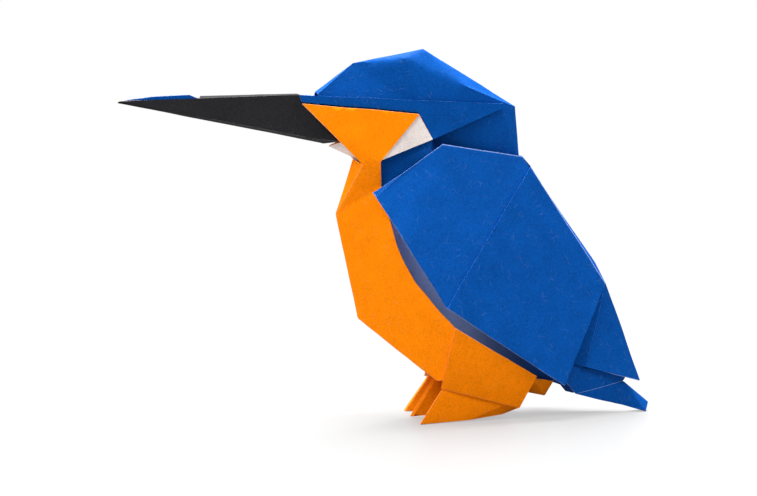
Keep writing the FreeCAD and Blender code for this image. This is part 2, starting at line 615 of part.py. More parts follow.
def fold_breast(cover, s):
    """The neck, then one flat side from the ridge of the breast to the curved edge under the wing."""
    over_neck = s.neck_half + s.paper + s.air
    cover.corner("neck ridge", s.throat_x, 0, s.throat_z)
    breast = cover.corner("breast", s.breast_x, 0, s.breast_z)
    cover.corner("neck edge", s.neck_edge_x, over_neck, s.neck_edge_z)
    collar = cover.corner("collar", s.neck_edge_x, over_neck + s.air, s.neck_edge_z - s.pleat * 0.4)
    cover.facet("jaw front", "cheek low", "neck edge")
    cover.facet("jaw front", "neck edge", "breast")
    cover.facet("neck ridge", "jaw front", "breast")
    cover.facet("breast", "neck edge", "collar")

    belly = cover.corner("belly", s.belly_x, 0, s.belly_z)
    flank = cover.corner("flank", s.flank_x, s.belly_half, s.flank_z)
    side = (breast, belly, flank)
    rib = cover.place("rib", on_plane(s.rib_x, s.rib_z, side))
    low_rib = between(rib, flank, 0.35) + Vector(-s.layer, 0, -s.layer)
    cover.place("low rib", on_plane(low_rib.x, low_rib.z, side))
    upper = (breast, collar, rib)
    high_rib = between(rib, collar, 0.28) + Vector(-s.layer, 0, -s.layer)
    cover.place("high rib", on_plane(high_rib.x, high_rib.z, upper))
    cover.place("belly side", on_plane(s.belly_side_x, s.belly_side_z, side))
    cover.place("hip inner", on_plane(s.thigh_x, s.thigh_z, side))
    cover.place("hem inner", on_plane(s.belly_side_x + s.pleat * 0.6, s.belly_side_z + s.air, side))
    cover.facet("breast", "collar", "high rib", "rib")
    cover.facet("breast", "rib", "low rib", "flank", "hip inner", "hem inner", "belly side", "belly")


def fold_leg(cover, s):
    """The thigh lies over the belly, one step out. The foot comes down from a pleat inside the thigh's
    lower hem and is folded double along its front."""
    step = Vector(0.05, -1, -0.1) * s.layer * 2
    hip = cover.shift("hip", "hip inner", step)
    side = (cover["breast"], cover["belly"], cover["flank"])
    hem = cover.place("hem", on_plane(s.hem_front_x, s.hem_front_z, side) + step)
    run = (s.thigh_length ** 2 - s.thigh_fall ** 2) ** 0.5
    rear_half = s.belly_half - s.thigh_narrowing
    rear = cover.corner("thigh rear", s.thigh_x + run, rear_half, s.thigh_z - s.thigh_fall)
    hem_rear = cover.place("hem rear", on_plane(s.hem_rear_x, s.hem_rear_z, (hip, hem, rear)))
    cover.facet("hip inner", "hem inner", "hem", "hip")
    cover.facet("hip", "hem", "hem rear", "thigh rear")

    along = (hem_rear - hem).normalize()
    inward = (rear - hip).cross(hem - hip).normalize() * s.layer
    if inward.y < 0:
        inward = -inward
    up = along.cross(inward).normalize()
    if up.z < 0:
        up = -up
    rise = up * s.pleat
    clear = along * s.layer * 4
    cover.shift("hem turned", "hem", clear + inward)
    cover.shift("hem rear turned", "hem rear", inward)
    cover.shift("hem raised", "hem", clear + inward + rise)
    cover.shift("hem rear raised", "hem rear", inward + rise)
    cover.shift("foot top", "hem", clear + inward * 2 + rise)
    cover.shift("foot rear top", "hem rear", inward * 2 + rise)
    cover.facet("hem", "hem rear", "hem rear turned", "hem turned")
    cover.facet("hem turned", "hem rear turned", "hem rear raised", "hem raised")
    cover.facet("hem raised", "hem rear raised", "foot rear top", "foot top")

    toe = cover.corner("toe", s.toe_x, s.toe_half, s.paper / 2)
    heel = cover.corner("heel", s.heel_x, s.heel_half, s.heel_z)
    sole_share = s.sole_length / (s.heel_x - s.toe_x)
    sole = between(toe, heel, sole_share)
    cover.corner("sole", sole.x, -sole.y, s.paper * 2)
    sole_rear = between(toe, heel, (sole_share + 2) / 3)
    cover.corner("sole rear", sole_rear.x, -sole_rear.y, s.heel_z / 2)
    cover.facet("foot top", "toe", "sole")
    cover.facet("foot top", "sole", "foot rear top")
    cover.facet("foot rear top", "sole", "sole rear")
    cover.facet("foot rear top", "sole rear", "heel")
    fold = Vector(0.15, 1, 0) * s.toe_fold
    for name in ("foot top", "toe", "sole"):
        cover.shift("inner " + name, name, fold)
    cover.facet("foot top", "inner foot top", "inner toe", "toe")
    cover.facet("inner foot top", "inner sole", "inner toe")


def fold_underside(cover, s):
    """The underside of the belly, with the middle toe folded down from its keel."""
    half = s.toe_fold / 2
    rear_x = s.keel_x + s.sole_length * 2 / 3
    cover.corner("keel ridge", s.keel_x, 0, s.keel_z)
    cover.corner("keel", s.keel_x + s.toe_fold * 0.8, half, s.keel_z)
    cover.corner("keel rear", rear_x, half, s.keel_z - s.pleat / 2)
    cover.corner("toe ridge", s.toe_x - s.toe_fold / 2, 0, s.paper * 2)
    cover.corner("middle toe", s.toe_x + s.toe_fold * 0.3, half, s.paper * 2)
    cover.corner("middle sole", s.toe_x + s.sole_length, half, s.pleat / 2)
    cover.corner("vent", s.vent_x, 0, s.vent_z)
    cover.corner("crotch", s.vent_x - s.pleat * 2.3, 0, s.vent_z + s.pleat / 2)
    cover.corner("rump side", s.vent_x - s.pleat * 1.6, s.heel_half, s.vent_z + s.pleat * 1.9)
    cover.corner("vent side", s.vent_x - s.pleat * 0.4, s.heel_half / 2, s.vent_z + s.pleat * 1.7)
    cover.corner("vent top", s.vent_x + s.pleat * 0.75, s.heel_half / 4, s.vent_z + s.pleat * 1.4)
    cover.facet("belly", "keel ridge", "keel", "belly side")
    cover.facet("belly side", "keel", "hem inner")
    cover.facet("hem inner", "keel", "keel rear")
    cover.facet("hem inner", "keel rear", "rump side")
    cover.facet("keel rear", "crotch", "rump side")
    cover.facet("crotch", "vent", "vent side", "rump side")
    cover.facet("vent", "vent top", "vent side")
    cover.facet("keel", "middle toe", "middle sole", "keel rear")
    cover.facet("keel ridge", "toe ridge", "middle toe", "keel")


def fold_orange_cover(s):
    """The orange sheet: cheeks, chin, neck, breast, belly, thighs and feet."""
    cover = FoldedSheet(s)
    fold_cheek(cover, s)
    fold_breast(cover, s)
    fold_leg(cover, s)
    fold_underside(cover, s)
    return cover.solid()


def add_sheet(doc, label, shape):
    node = doc.addObject("Part::Feature", label)
    node.Label = label
    node.Shape = shape
    return node


def add_leaf(doc, label, s, outline):
    """A flat double layer of paper on the middle plane, extruded both ways from its outline."""
    wire = doc.addObject("Part::Polygon", label + "_outline")
    wire.Nodes = [stretched(s, point) for point in outline]
    wire.Close = True
    leaf = doc.addObject("Part::Extrusion", label)
    leaf.Base = wire
    leaf.DirMode = "Custom"
    leaf.Dir = Vector(0, 1, 0)
    leaf.Solid = True
    leaf.Symmetric = True
    leaf.setExpression("LengthFwd", "Sizes.paper * 2")
    return leaf


def add_blue_sheet(doc, s):
    """The blue cover and the layers gathered inside it, as one sheet."""
    node = doc.addObject("Part::MultiFuse", "blue_sheet")
    node.Label = "blue_sheet"
    node.Shapes = [
        add_sheet(doc, "blue_cover", fold_blue_cover(s)),
        add_leaf(doc, "blue_point", s, point_outline(s)),
        add_leaf(doc, "blue_gather", s, gather_outline(s)),
    ]
    node.Refine = True
    return node


def centre(nodes):
    """Stands the bird on the floor with the origin under the middle of its box."""
    box = FreeCAD.BoundBox()
    for node in nodes:
        box.add(node.Shape.BoundBox)
    move = Vector(-box.Center.x, -box.Center.y, -box.ZMin)
    for node in nodes:
        node.Placement = FreeCAD.Placement(move, FreeCAD.Rotation())


def check(doc, nodes):
    for item in doc.Objects:
        if "Invalid" in item.State or "Error" in item.State:
            raise RuntimeError(f"{item.Name} failed: {item.State}")
    for node in nodes:
        if node.Shape.isNull() or not node.Shape.isValid():
            raise RuntimeError(f"{node.Label} is not a valid shape")
        if len(node.Shape.Solids) != 1:
            raise RuntimeError(f"{node.Label} has {len(node.Shape.Solids)} solids")


def main():
    doc, sheet = make_document()
    s = read_sizes(sheet)
    nodes = [
        add_sheet(doc, "beak_sheet", fold_beak(s)),
        add_blue_sheet(doc, s),
        add_sheet(doc, "orange_sheet", fold_orange_cover(s)),
    ]
    doc.recompute()
    centre(nodes)
    doc.recompute()
    check(doc, nodes)
    os.makedirs("parts", exist_ok=True)
    for node in nodes:
        node.Shape.exportStep(f"parts/{node.Label}.step")
        box = node.Shape.BoundBox
        print(f"{node.Label}: {box.XLength:.1f} x {box.YLength:.1f} x {box.ZLength:.1f} mm")


main()
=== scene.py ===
"""Origami kingfisher: three sheets of dyed paper, folded and cut, standing on its toes and its tail."""

import math
from collections import namedtuple

import bmesh
import bpy
from bpy.props import FloatProperty, FloatVectorProperty, IntProperty, PointerProperty
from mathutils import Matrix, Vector, noise
from mathutils.kdtree import KDTree


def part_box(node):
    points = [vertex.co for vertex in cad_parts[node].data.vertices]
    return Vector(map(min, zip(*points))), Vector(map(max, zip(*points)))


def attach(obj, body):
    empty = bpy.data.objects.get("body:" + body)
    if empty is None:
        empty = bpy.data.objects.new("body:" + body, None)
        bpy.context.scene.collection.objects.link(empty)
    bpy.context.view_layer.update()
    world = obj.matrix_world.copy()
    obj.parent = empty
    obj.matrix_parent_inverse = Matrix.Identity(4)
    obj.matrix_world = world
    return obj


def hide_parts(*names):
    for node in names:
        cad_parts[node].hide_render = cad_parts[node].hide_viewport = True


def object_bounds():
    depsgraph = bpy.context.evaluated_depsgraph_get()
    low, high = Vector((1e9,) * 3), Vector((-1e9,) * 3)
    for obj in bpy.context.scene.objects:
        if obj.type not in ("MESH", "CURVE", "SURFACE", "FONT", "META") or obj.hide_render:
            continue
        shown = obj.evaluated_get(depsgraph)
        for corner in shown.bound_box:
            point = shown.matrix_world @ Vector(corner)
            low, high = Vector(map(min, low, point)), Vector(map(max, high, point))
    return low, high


bl_info = {
    "name": "Origami Kingfisher",
    "version": (1, 0, 0),
    "blender": (4, 5, 0),
    "location": "View3D > Sidebar > Kingfisher",
    "description": "Makes a kingfisher of folded paper around its packed frame",
    "category": "Add Mesh",
}

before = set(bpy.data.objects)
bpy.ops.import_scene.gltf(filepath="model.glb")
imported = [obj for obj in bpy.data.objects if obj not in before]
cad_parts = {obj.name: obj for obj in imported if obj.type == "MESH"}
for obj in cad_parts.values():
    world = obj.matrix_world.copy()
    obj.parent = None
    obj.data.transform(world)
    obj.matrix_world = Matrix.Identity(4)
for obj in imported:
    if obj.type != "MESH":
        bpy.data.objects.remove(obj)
CAD_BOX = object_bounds()

MM = 0.001
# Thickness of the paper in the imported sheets.
PAPER = 0.25 * MM
# Sides of the paper, which are also the pieces' material slots.
FRONT, BACK, CUT, FOLD = 0, 1, 2, 3

# A fold of less than this is a soft bend.
FOLD_ANGLE = math.radians(21)
# From this angle on, the paper is turned back on itself.
TURNED_ANGLE = math.radians(60)
# The upper edges of the wings are turned further than this.
SHOULDER_ANGLE = math.radians(66)
# The opened creases on the tail bend between these angles.
OPENED_ANGLES = math.radians(2), math.radians(5)
# Facets that meet at less than this are parts of one flat facet.
FLAT_ANGLE = math.radians(0.6)
# Facets that meet at less than this are shaded as one surface.
SHADED_ANGLE = math.radians(35)

# Height at which the crown is clear of the eye bands and the beak.
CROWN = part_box("beak_sheet")[1].z + 1.2 * MM

# What differs between the sheets: the least angle of a pressed fold, how far the cut edges and the folds
# are from the dye's colour towards the reverse's, and how strong mottling and fibres are. That lighter
# colour is partly the paler inside of the paper and worn fibres, and partly painted highlight along the
# edges, most on the blue sheet.
Finish = namedtuple("Finish", "fold_angle cut_white fold_white mottling fibres")
FINISHES = {
    "black_paper": Finish(FOLD_ANGLE, 0.3, 0.05, 0.42, 0.15),
    # The blue sheet's cut edges and folds are lightened most, as painted highlight along the upper edges
    # of the wings and the eye bands.
    "blue_paper": Finish(FOLD_ANGLE, 0.6, 0.35, 0.42, 0.38),
    # The breast's folds are pressed more than the wings' are, though they bend less.
    "orange_paper": Finish(math.radians(9), 0.25, 0.06, 0.315, 0.38),
}
# How far the fibres on the dyed side, and the blue sheet's reverse towards the tail, which is darkened
# there as painted shade, are from the dye's colour towards the reverse's.
FIBRE_WHITE = 0.35
TAIL_SHADE_WHITE = 0.03

# Each lamp's direction from the bird, its distance and size in metres, and its level.
LAMPS = {
    "left_softbox": (Vector((-0.6, -0.42, 0.68)), 0.9, 0.4, 0.84),
    "right_softbox": (Vector((0.62, -0.4, 0.68)), 0.9, 0.4, 0.66),
    "top_light": (Vector((0.0, 0.3, 0.95)), 0.8, 0.7, 5.4),
}
WHITE = (1, 1, 1, 1)


def linear(hex_colour):
    """An sRGB hex colour as the linear RGB that shaders take."""
    values = [int(hex_colour[i:i + 2], 16) / 255 for i in (0, 2, 4)]
    return tuple(v / 12.92 if v <= 0.04045 else ((v + 0.055) / 1.055) ** 2.4 for v in values)


# ------------------------------------------------------- sizes and colours that a user may change


class PaperSettings(bpy.types.PropertyGroup):
    """How the three sheets are folded and coloured."""

    blue: FloatVectorProperty(
        name="Blue", description="Dyed side of the blue sheet", subtype="COLOR", size=3,
        min=0, max=1, default=linear("044590"))
    orange: FloatVectorProperty(
        name="Orange", description="Dyed side of the orange sheet", subtype="COLOR", size=3,
        min=0, max=1, default=linear("F98404"))
    black: FloatVectorProperty(
        name="Black", description="Dyed side of the beak's sheet", subtype="COLOR", size=3,
        min=0, max=1, default=linear("232325"))
    reverse: FloatVectorProperty(
        name="Reverse", description="Undyed side of the orange and the black sheet",
        subtype="COLOR", size=3, min=0, max=1, default=linear("DBD0CB"))
    # Painted light: the blue sheet's undyed side has a pale blue tint that stands for light thrown on it
    # from the blue paper around it.
    bounce_tinted_reverse: FloatVectorProperty(
        name="Tinted Reverse", description="Undyed side of the blue sheet, with some dye come through",
        subtype="COLOR", size=3, min=0, max=1, default=linear("B0C4FA"))
    grid: FloatProperty(
        name="Grid", description="Spacing of the vertices that carry the paper's waviness",
        subtype="DISTANCE", unit="LENGTH", min=0.5 * MM, default=1.25 * MM)
    fold_width: FloatProperty(
        name="Fold Width", description="Width of the rounding on each side of a fold",
        subtype="DISTANCE", unit="LENGTH", min=0, default=0.14 * MM)
    turned_width: FloatProperty(
        name="Turned Edge Width", description="The same where the paper is turned back on itself",
        subtype="DISTANCE", unit="LENGTH", min=0, default=0.24 * MM)
    cut_width: FloatProperty(
        name="Cut Edge Width", description="Width of the feathering along the cut edges",
        subtype="DISTANCE", unit="LENGTH", min=0, default=0.19 * MM)
    cockle: FloatProperty(
        name="Cockle", description="Height of the paper's waviness",
        subtype="DISTANCE", unit="LENGTH", min=0, default=0.16 * MM)
    cockle_width: FloatProperty(
        name="Cockle Width", description="Width of one wave",
        subtype="DISTANCE", unit="LENGTH", min=1 * MM, default=14 * MM)
    relax: IntProperty(
        name="Relax", description="Times that weak folds are evened out", min=0, default=14)
    relax_soft: IntProperty(
        name="Relax Soft Folds", min=0, default=5,
        description="Times that the folds beside the crown's ridge are evened out")


class StageSettings(bpy.types.PropertyGroup):
    """Floor and camera."""

    azimuth: FloatProperty(
        name="Azimuth", description="Angle the camera stands round from the bird's side",
        subtype="ANGLE", unit="ROTATION", default=math.radians(-10.4))
    elevation: FloatProperty(
        name="Elevation", description="Angle the camera looks down at",
        subtype="ANGLE", unit="ROTATION", default=math.radians(5.8))
    distance: FloatProperty(
        name="Distance", description="From the camera to the point it looks at",
        subtype="DISTANCE", unit="LENGTH", min=0.1, default=0.707)
    lens: FloatProperty(
        name="Lens", description="Focal length", subtype="DISTANCE_CAMERA", min=10, default=120)
    floor: FloatVectorProperty(
        name="Floor", description="Light that the floor throws back", subtype="COLOR", size=3,
        min=0, max=1, default=linear("8A8A8A"))


# ------------------------------------------------------------------------ from CAD sheet to paper


def sheet_mesh(node_name):
    """A bmesh copy of a packed sheet, with its loose triangles joined."""
    bm = bmesh.new()
    bm.from_mesh(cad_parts[node_name].data)
    bmesh.ops.remove_doubles(bm, verts=bm.verts, dist=0.001 * MM)
    return bm


def misfit(vert, step):
    """How badly a step to a vertex fits as the way straight through the paper. Each facet that meets
    there should be one thickness deep along the step, or lie along it, as the cut edge does."""
    error, turn, through = 0, 0, False
    for loop in vert.link_loops:
        depth = loop.face.normal.dot(step)
        through = through or depth > PAPER / 2
        error += loop.calc_angle() * abs(depth - PAPER if depth > PAPER / 2 else depth)
        turn += loop.calc_angle()
    return error / turn if through else 1


def partners(bm):
    """Each vertex with the one straight through the paper, where each is the other's best fit."""
    most_misfit = 0.6 * PAPER
    reach = 4 * PAPER
    tree = KDTree(len(bm.verts))
    for vert in bm.verts:
        tree.insert(vert.co, vert.index)
    tree.balance()
    bm.verts.ensure_lookup_table()

    found = {}
    for vert in bm.verts:
        best = most_misfit
        for _, index, distance in tree.find_range(vert.co, reach):
            if not distance:
                continue
            other = bm.verts[index]
            step = vert.co - other.co
            error = (misfit(vert, step) + misfit(other, -step)) / 2
            if error < best:
                best = error
                found[vert] = other
    return {vert: other for vert, other in found.items() if found.get(other) is vert}


def sort_sides(bm):
    """Marks each face as the dyed front, the white back or the cut edge of the paper."""
    bm.normal_update()
    bm.verts.index_update()
    through = partners(bm)
    for face in bm.faces:
        is_cut = any(through.get(vert) in face.verts for vert in face.verts)
        face.material_index = CUT if is_cut else BACK
    sides = (face for face in bm.faces if face.material_index == BACK)
    # The front is the side that holds the outermost facet, and the cut edges bound it.
    seed = min(sides, key=lambda face: face.calc_center_median().y)
    seed.material_index = FRONT
    reached = [seed]
    for face in reached:
        for edge in face.edges:
            for other in edge.link_faces:
                if other.material_index == BACK:
                    other.material_index = FRONT
                    reached.append(other)


def dye_head(bm):
    """Dyes the blue sheet's layers in the head, and its narrow point in the beak, on both sides."""
    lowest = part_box("beak_sheet")[0].z
    for face in bm.faces:
        if face.material_index == BACK and face.calc_center_median().z > lowest:
            face.material_index = FRONT


def bend(edge):
    """The angle that the paper turns by at an edge, less than nothing where it turns inwards."""
    return edge.calc_face_angle_signed(0)


def is_dyed(edge):
    """Both facets at the edge are on the dyed side."""
    return all(face.material_index == FRONT for face in edge.link_faces)


def is_strip_edge(edge):
    """At least one facet at the edge is a strip less than six thicknesses of paper wide."""
    return any(
        face.calc_area() < 6 * PAPER * max(side.calc_length() for side in face.edges)
        for face in edge.link_faces)


def is_soft(edge):
    """The folds beside the ridge of the crown were never pressed flat."""
    return all(vert.co.z > CROWN for vert in edge.verts) and \
        any(abs(vert.co.y) > 0.8 * MM for vert in edge.verts)


def is_shoulder(edge):
    """The upper edges of the wings, which fingers hold, are rounded widest. The lighter fold colour on
    them is partly wear and partly painted highlight.
    """
    low, high = Vector((-8 * MM, 0, 62 * MM)), Vector((40 * MM, 0, 78.5 * MM))
    on_wing = all(
        low.x < vert.co.x < high.x and low.z < vert.co.z < high.z and abs(vert.co.y) > 2 * MM
        for vert in edge.verts)
    dyed = any(face.material_index == FRONT for face in edge.link_faces)
    return on_wing and dyed and bend(edge) > SHOULDER_ANGLE


def is_highlit_crease(edge):
    """The creases low on the tail were pressed and opened again, and hardly bend. The lighter fold colour
    on their rounding is a painted highlight line.
    """
    on_tail = all(vert.co.x > 50 * MM and vert.co.z < 9.5 * MM for vert in edge.verts)
    least, most = OPENED_ANGLES
    return on_tail and is_dyed(edge) and least < abs(bend(edge)) < most


def is_rim(edge):
    """The dyed side ends here at the cut edge."""
    return {face.material_index for face in edge.link_faces} == {FRONT, CUT}


def round_edges(bm, belongs, offset, segments, side):
    """Rounds the edges that belong, and marks the rounding as one of the paper's sides. Soft folds and
    edges shorter than eight offsets stay as they are."""
    edges = [
        edge for edge in bm.edges
        if belongs(edge) and edge.calc_length() > offset * 8 and not is_soft(edge)]
    rounded = bmesh.ops.bevel(
        bm, geom=edges, offset=offset, offset_type="OFFSET", segments=segments, profile=0.5,
        affect="EDGES", clamp_overlap=True, material=-1)
    for face in rounded["faces"]:
        face.material_index = side


def round_folds(bm, paper, fold_angle):
    """Rounds the folds that stand out on the dyed side, and marks the rounding as worn paper, whose
    lighter colour is partly painted highlight. Where the paper is turned back on itself, the edge is as
    thick as the layers and rounder, but strips have no room for that, and their rounding takes the cut
    edges' colour. The upper edges of the wings are roundest, and the opened creases least. The cut edges
    are feathered, which shows the paler inside of the paper, lightened further as painted highlight."""
    bmesh.ops.dissolve_limit(
        bm, angle_limit=FLAT_ANGLE, use_dissolve_boundaries=False, verts=bm.verts, edges=bm.edges,
        delimit={"MATERIAL"})

    def is_turned(edge):
        return is_dyed(edge) and TURNED_ANGLE < bend(edge) <= math.pi

    def is_folded(edge):
        return is_dyed(edge) and fold_angle < bend(edge) <= TURNED_ANGLE

    turned_width = paper.turned_width
    # The wings' upper edges get the lighter fold colour: partly wear, partly painted highlight.
    round_edges(bm, is_shoulder, turned_width * 1.2, 2, FOLD)
    round_edges(bm, lambda edge: is_turned(edge) and not is_strip_edge(edge), turned_width, 2, FOLD)
    # Turned strips take the cut edges' lighter colour, partly painted highlight.
    round_edges(bm, lambda edge: is_turned(edge) and is_strip_edge(edge), turned_width / 2, 2, CUT)
    round_edges(bm, is_folded, paper.fold_width, 2, FOLD)
    # The tail's creases get the lighter fold colour as a painted highlight line.
    round_edges(bm, is_highlit_crease, paper.fold_width * 0.7, 2, FOLD)
    round_edges(bm, is_rim, paper.cut_width, 1, CUT)


def lay_grid(bm, step):
    """Cuts all facets along evenly spaced upright and level planes, so that the paper can bend."""
    for axis in (0, 2):
        normal = Vector((axis == 0, 0, axis == 2))
        low = min(vert.co[axis] for vert in bm.verts)
        high = max(vert.co[axis] for vert in bm.verts)
        for count in range(int(low / step), int(high / step) + 1):
            everything = bm.verts[:] + bm.edges[:] + bm.faces[:]
            bmesh.ops.bisect_plane(
                bm, geom=everything, plane_co=normal * count * step, plane_no=normal, dist=step * 0.02)
    bmesh.ops.triangulate(bm, faces=[face for face in bm.faces if len(face.verts) > 4])


def relax(bm, times, soft_times, kept_angle):
    """Evens out the weak folds and leaves the sharp ones and the cut edges where they are. The soft
    folds are evened out a little too."""
    for count, keeps_soft in ((times, True), (soft_times, False)):
        held = set()
        for edge in bm.edges:
            sides = {face.material_index for face in edge.link_faces}
            sharp = abs(bend(edge)) > kept_angle and (keeps_soft or not is_soft(edge))
            if sharp or CUT in sides or FOLD in sides:
                held.update(edge.verts)
        free = [vert for vert in bm.verts if vert not in held]
        for _ in range(count):
            bmesh.ops.smooth_vert(
                bm, verts=free, factor=0.5, use_axis_x=True, use_axis_y=True, use_axis_z=True)


def cockle(bm, height, width):
    """Moves the paper in and out a little, as folding and handling leave it. Small waves, a third as
    wide and as high, lie over the wide ones. All sheets follow the same waves, so they stay clear of
    each other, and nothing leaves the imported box. The waves die out over the last 4 mm above the floor,
    so the feet stay on it."""
    low, high = CAD_BOX
    # Unseeded, the waves would be others each time.
    noise.seed_set(1)
    for vert in bm.verts:
        place = vert.co / width
        wave = noise.noise_vector(place) + 0.35 * noise.noise_vector(place * 3.1)
        moved = vert.co + wave * height * min(1, max(0, vert.co.z / (4 * MM)))
        vert.co = [min(max(moved[axis], low[axis]), high[axis]) for axis in range(3)]


def make_paper(node_name, slot, dye, reverse):
    """Makes the visible piece that stands for a packed sheet, with the colours of its two sides."""
    piece_name = slot.replace("paper", "sheet_of_paper")
    paper = bpy.context.scene.kingfisher_paper
    fold_angle = FINISHES[slot].fold_angle
    bm = sheet_mesh(node_name)
    sort_sides(bm)
    if node_name == "blue_sheet":
        dye_head(bm)
    round_folds(bm, paper, fold_angle)
    lay_grid(bm, paper.grid)
    relax(bm, paper.relax, paper.relax_soft, fold_angle)
    cockle(bm, paper.cockle, paper.cockle_width)
    for face in bm.faces:
        face.smooth = True
    for edge in bm.edges:
        edge.smooth = abs(bend(edge)) < SHADED_ANGLE
    mesh = bpy.data.meshes.new(piece_name)
    bm.to_mesh(mesh)
    bm.free()
    for material in sheet_materials(slot, Vector(dye), Vector(reverse)):
        mesh.materials.append(material)
    piece = bpy.data.objects.new(piece_name, mesh)
    bpy.context.collection.objects.link(piece)
    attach(piece, "root")
    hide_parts(node_name)


# -------------------------------------------------------------------------------------- materials


def add_node(tree, kind, settings=None, links=None):
    """Adds a node, sets its properties and sockets, and links its inputs to other nodes' outputs."""
    node = tree.nodes.new(kind)
    for name, value in (settings or {}).items():
        if isinstance(name, str) and hasattr(node, name):
            setattr(node, name, value)
        else:
            node.inputs[name].default_value = value
    for name, source in (links or {}).items():
        tree.links.new(source, node.inputs[name])
    return node


def empty_tree(block):
    """The node tree of a new material or world, with nothing in it."""
    block.use_nodes = True
    block.node_tree.nodes.clear()
    return block.node_tree


def sheet_materials(slot, dye, reverse):
    """The materials of a sheet, in the order of the paper's sides. The cut edges show the inside of the
    paper, which the dye reached less, and the folds have lost some of their dye. Both are lightened
    further as painted highlight along the edges."""
    finish = FINISHES[slot]
    name = slot.replace("paper", "mulberry_paper")
    fibre = dye.lerp(reverse, FIBRE_WHITE)
    # Painted shade: the blue sheet's reverse turns nearly the dye's blue towards the tail.
    tail_shade = dye.lerp(reverse, TAIL_SHADE_WHITE) if slot == "blue_paper" else None
    # Lighter cut edges and folds: partly the paper's inside and wear, partly painted highlight.
    cut = dye.lerp(reverse, finish.cut_white)
    fold = dye.lerp(reverse, finish.fold_white)
    return (
        paper_material(name + "_dyed", dye, fibre, mottling=finish.mottling, fibres=finish.fibres),
        paper_material(name + "_reverse", reverse, reverse * 1.1, mottling=0.245, tail_shade=tail_shade),
        paper_material(name + "_cut", cut, reverse, mottling=0.175),
        paper_material(name + "_fold", fold, fibre),
    )


def loose_fibres(tree, place):
    """How strongly loose fibres show: up to 1 along each, and 0 between them. A fibre shows for 1 to
    2.5 mm. Real ones are 0.05 mm thick at most, and these are drawn about twice as thick, so that they
    show. They are bent by a slow noise, and lie in four directions. Only a few of the pattern's cells
    hold one."""
    sway = add_node(
        tree, "ShaderNodeTexNoise", {"Scale": 1 / (3 * MM), "Detail": 0.0}, {"Vector": place})
    bent = add_node(
        tree, "ShaderNodeVectorMath",
        {"operation": "MULTIPLY_ADD", 1: (1.2 * MM, 1.2 * MM, 1.2 * MM)},
        {0: sway.outputs["Color"], 2: place})
    strands = None
    for turn in range(4):
        lie = add_node(
            tree, "ShaderNodeMapping",
            {"vector_type": "TEXTURE", "Rotation": (0, 0.4 + turn * 0.79, 0),
             "Location": (0.01 * turn, 0.02 * turn, 0), "Scale": (3.0 * MM, 2 * MM, 0.17 * MM)},
            {"Vector": bent.outputs["Vector"]})
        cells = add_node(
            tree, "ShaderNodeTexVoronoi", {"Scale": 1.0}, {"Vector": lie.outputs["Vector"]})
        strand = add_node(
            tree, "ShaderNodeMapRange", {"From Min": 0.42, "From Max": 0.2},
            {"Value": cells.outputs["Distance"]})
        chosen = add_node(
            tree, "ShaderNodeMapRange", {"From Min": 0.85, "From Max": 1.0},
            {"Value": cells.outputs["Color"]})
        total = add_node(
            tree, "ShaderNodeMath", {"operation": "MULTIPLY_ADD", 2: 0.0},
            {0: strand.outputs["Result"], 1: chosen.outputs["Result"]})
        if strands:
            tree.links.new(strands, total.inputs[2])
        strands = total.outputs["Value"]
    return strands


